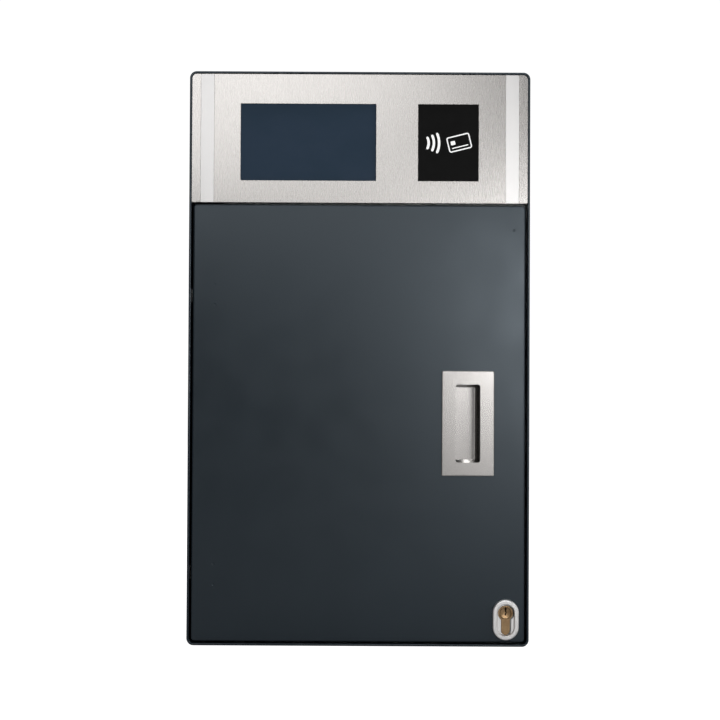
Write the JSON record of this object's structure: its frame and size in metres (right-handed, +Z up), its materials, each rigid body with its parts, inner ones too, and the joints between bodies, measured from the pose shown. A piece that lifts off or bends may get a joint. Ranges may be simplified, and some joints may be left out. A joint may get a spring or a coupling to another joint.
{
  "type": "phone charging kiosk",
  "caption": "Wall-hung phone charging kiosk: steel case with display and contactless reader in its header, hinged door with flush pull and cylinder lock, and racks of charging slots inside.",
  "frame": {"origin": "middle of the base, halfway between the front of the lock and the back panel", "axes": "+X to the right of someone facing the door, +Y from the door to the wall, +Z up"},
  "size_m": [0.39, 0.186, 0.656],
  "materials": {
    "anthracite_powder_coat": "satin powder coat, anthracite grey",
    "brushed_stainless": "vertical brushed grain",
    "satin_stainless": "fine satin",
    "satin_trim": "light satin",
    "zinc_plated_steel": "zinc plated",
    "display_glass": "dark blue glossy cover over an unlit display",
    "reader_black": "gloss black",
    "black_plastic": "moulded black",
    "circuit_board": "green solder mask",
    "rubber_black": "matte black rubber",
    "satin_nickel": "satin nickel",
    "lock_brass": "aged satin brass",
    "grey_plastic": "moulded grey"
  },
  "bodies": {
    "case": {"back_panel": "anthracite_powder_coat", "cable_grommet": "rubber_black", "case_wrapper": "anthracite_powder_coat", "controller_board": "circuit_board", "display_bracket": "black_plastic", "display_glass": "display_glass", "door_seal": "rubber_black", "door_stop_bottom": "zinc_plated_steel", "door_stop_right": "zinc_plated_steel", "fascia_bracket_left": "zinc_plated_steel", "fascia_bracket_right": "zinc_plated_steel", "fascia_nut_lower_left": "zinc_plated_steel", "fascia_nut_lower_right": "zinc_plated_steel", "fascia_nut_upper_left": "zinc_plated_steel", "fascia_nut_upper_right": "zinc_plated_steel", "fascia_plate": "brushed_stainless", "header_divider": "zinc_plated_steel", "hinge_arm_lower": "zinc_plated_steel", "hinge_arm_upper": "zinc_plated_steel", "hinge_screw_lower_1": "zinc_plated_steel", "hinge_screw_lower_2": "zinc_plated_steel", "hinge_screw_upper_1": "zinc_plated_steel", "hinge_screw_upper_2": "zinc_plated_steel", "latch_body": "black_plastic", "lcd_panel": "grey_plastic", "lower_rack": "black_plastic", "lower_shelf": "anthracite_powder_coat", "lower_usb_hub": "grey_plastic", "power_supply": "zinc_plated_steel", "reader_board": "circuit_board", "reader_window": "reader_black", "reed_switch": "black_plastic", "terminal_block": "grey_plastic", "trim_strip_left": "satin_trim", "trim_strip_right": "satin_trim", "upper_rack": "black_plastic", "upper_shelf": "anthracite_powder_coat", "upper_usb_hub": "grey_plastic"},
    "door": {"cylinder_clamp": "zinc_plated_steel", "door_magnet": "black_plastic", "door_skin": "anthracite_powder_coat", "door_stiffener": "zinc_plated_steel", "hinge_leaf_lower": "zinc_plated_steel", "hinge_leaf_upper": "zinc_plated_steel", "hinge_nut_lower_1": "zinc_plated_steel", "hinge_nut_lower_2": "zinc_plated_steel", "hinge_nut_upper_1": "zinc_plated_steel", "hinge_nut_upper_2": "zinc_plated_steel", "hinge_pin_lower": "zinc_plated_steel", "hinge_pin_upper": "zinc_plated_steel", "latch_striker": "zinc_plated_steel", "lock_cylinder": "lock_brass", "lock_escutcheon": "satin_nickel", "pull_clamp": "zinc_plated_steel", "pull_plate": "satin_stainless"},
    "lock": {"lock_plug": "lock_brass", "lock_tongue": "zinc_plated_steel", "tongue_screw": "zinc_plated_steel"},
    "latch_bolt": {"latch_bolt": "zinc_plated_steel"}
  },
  "joints": [
    {"name": "door_hinge", "type": "hinge", "parent": "case", "child": "door", "pos_m": [-0.178, -0.079, 0.2405], "axis": [0, 0, -1], "range_deg": [0, 100]},
    {"name": "lock_turn", "type": "hinge", "parent": "door", "child": "lock", "pos_m": [0.1682, -0.0885, 0.0385], "axis": [0, 1, 0], "range_deg": [0, 90]},
    {"name": "latch_slide", "type": "slide", "parent": "case", "child": "latch_bolt", "axis": [-1, 0, 0], "range_m": [0, 0.009], "stiffness_N_per_m": 60}
  ]
}
